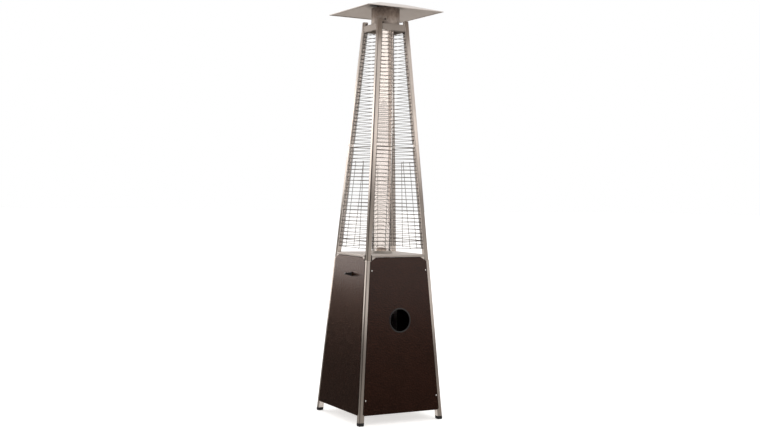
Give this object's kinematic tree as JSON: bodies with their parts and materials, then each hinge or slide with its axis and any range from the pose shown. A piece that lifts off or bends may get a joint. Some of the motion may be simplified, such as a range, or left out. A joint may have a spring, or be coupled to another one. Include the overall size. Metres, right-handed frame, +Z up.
{
  "type": "patio heater",
  "caption": "Four-sided tapering gas patio heater: bronze cabinet, wire guards round a central glass flame tube, and a square heat reflector on top.",
  "frame": {"origin": "centre of the square foot print, on the ground under the rubber feet", "axes": "+Z up along the flame tube; -Y is the front, which carries the gas control; +X is the side with the round hand hole; +Y is the side with the hinged door"},
  "size_m": [0.5198, 0.5198, 2.27],
  "materials": {
    "foot_rubber": "matt black moulded rubber",
    "post_steel": "warm satin stainless steel",
    "cabinet_bronze": "glossy hammered bronze powder coat",
    "stainless": "satin stainless steel",
    "heated_steel": "heat-browned stainless steel",
    "reflector_steel": "satin stainless steel",
    "wire_steel": "bright drawn wire",
    "clear_glass": "clear heat-proof glass",
    "seal_rubber": "matt silicone",
    "black_plastic": "satin black plastic",
    "brass": "machined brass",
    "die_cast": "die-cast, unpainted",
    "pipe_aluminium": "drawn tube",
    "copper": "bare copper",
    "ceramic": "white glazed insulator"
  },
  "bodies": {
    "frame": {"base_tray": "stainless", "burner_deck": "stainless", "burner_head": "heated_steel", "burner_mixer": "die_cast", "burner_plate": "stainless", "control_bracket": "stainless", "door_hinge_lower": "stainless", "door_hinge_upper": "stainless", "door_magnet": "black_plastic", "feed_pipe": "pipe_aluminium", "fixing_tray": "heated_steel", "flame_screen": "heated_steel", "foot_cap_front_left": "foot_rubber", "foot_cap_front_right": "foot_rubber", "foot_cap_rear_left": "foot_rubber", "foot_cap_rear_right": "foot_rubber", "front_panel": "cabinet_bronze", "gas_jet": "brass", "gas_valve": "die_cast", "glass_tube": "clear_glass", "hand_hole_ring": "black_plastic", "left_panel": "cabinet_bronze", "lower_guard_front": "wire_steel", "lower_guard_left": "wire_steel", "lower_guard_rear": "wire_steel", "lower_guard_right": "wire_steel", "lower_post_front_left": "post_steel", "lower_post_front_right": "post_steel", "lower_post_rear_left": "post_steel", "lower_post_rear_right": "post_steel", "pilot_burner": "brass", "pilot_pipe": "pipe_aluminium", "reflector": "reflector_steel", "reflector_nut_1": "stainless", "reflector_nut_2": "stainless", "reflector_nut_3": "stainless", "reflector_spider": "heated_steel", "right_panel": "cabinet_bronze", "spark_electrode": "ceramic", "thermocouple": "copper", "tip_switch": "black_plastic", "tube_collar": "stainless", "tube_seat": "seal_rubber", "upper_guard_front": "wire_steel", "upper_guard_left": "wire_steel", "upper_guard_rear": "wire_steel", "upper_guard_right": "wire_steel", "upper_post_front_left": "post_steel", "upper_post_front_right": "post_steel", "upper_post_rear_left": "post_steel", "upper_post_rear_right": "post_steel", "valve_inlet": "brass"},
    "door": {"rear_door": "cabinet_bronze"},
    "valve_push": {"push_collar": "stainless"},
    "knob": {"valve_spindle": "brass", "control_knob": "black_plastic"}
  },
  "joints": [
    {"name": "door_swing", "type": "hinge", "parent": "frame", "child": "door", "pos_m": [-0.20787, 0.22967, 0.469], "axis": [0.0743, -0.0743, 0.9945], "range_deg": [0, 110]},
    {"name": "knob_push", "type": "slide", "parent": "frame", "child": "valve_push", "axis": [0, 0.9972, -0.0745], "range_m": [0, 0.0035], "stiffness_N_per_m": 2500},
    {"name": "knob_turn", "type": "hinge", "parent": "valve_push", "child": "knob", "pos_m": [0.035, -0.20184, 0.788], "axis": [0, -0.9972, 0.0745], "range_deg": [0, 180]}
  ]
}
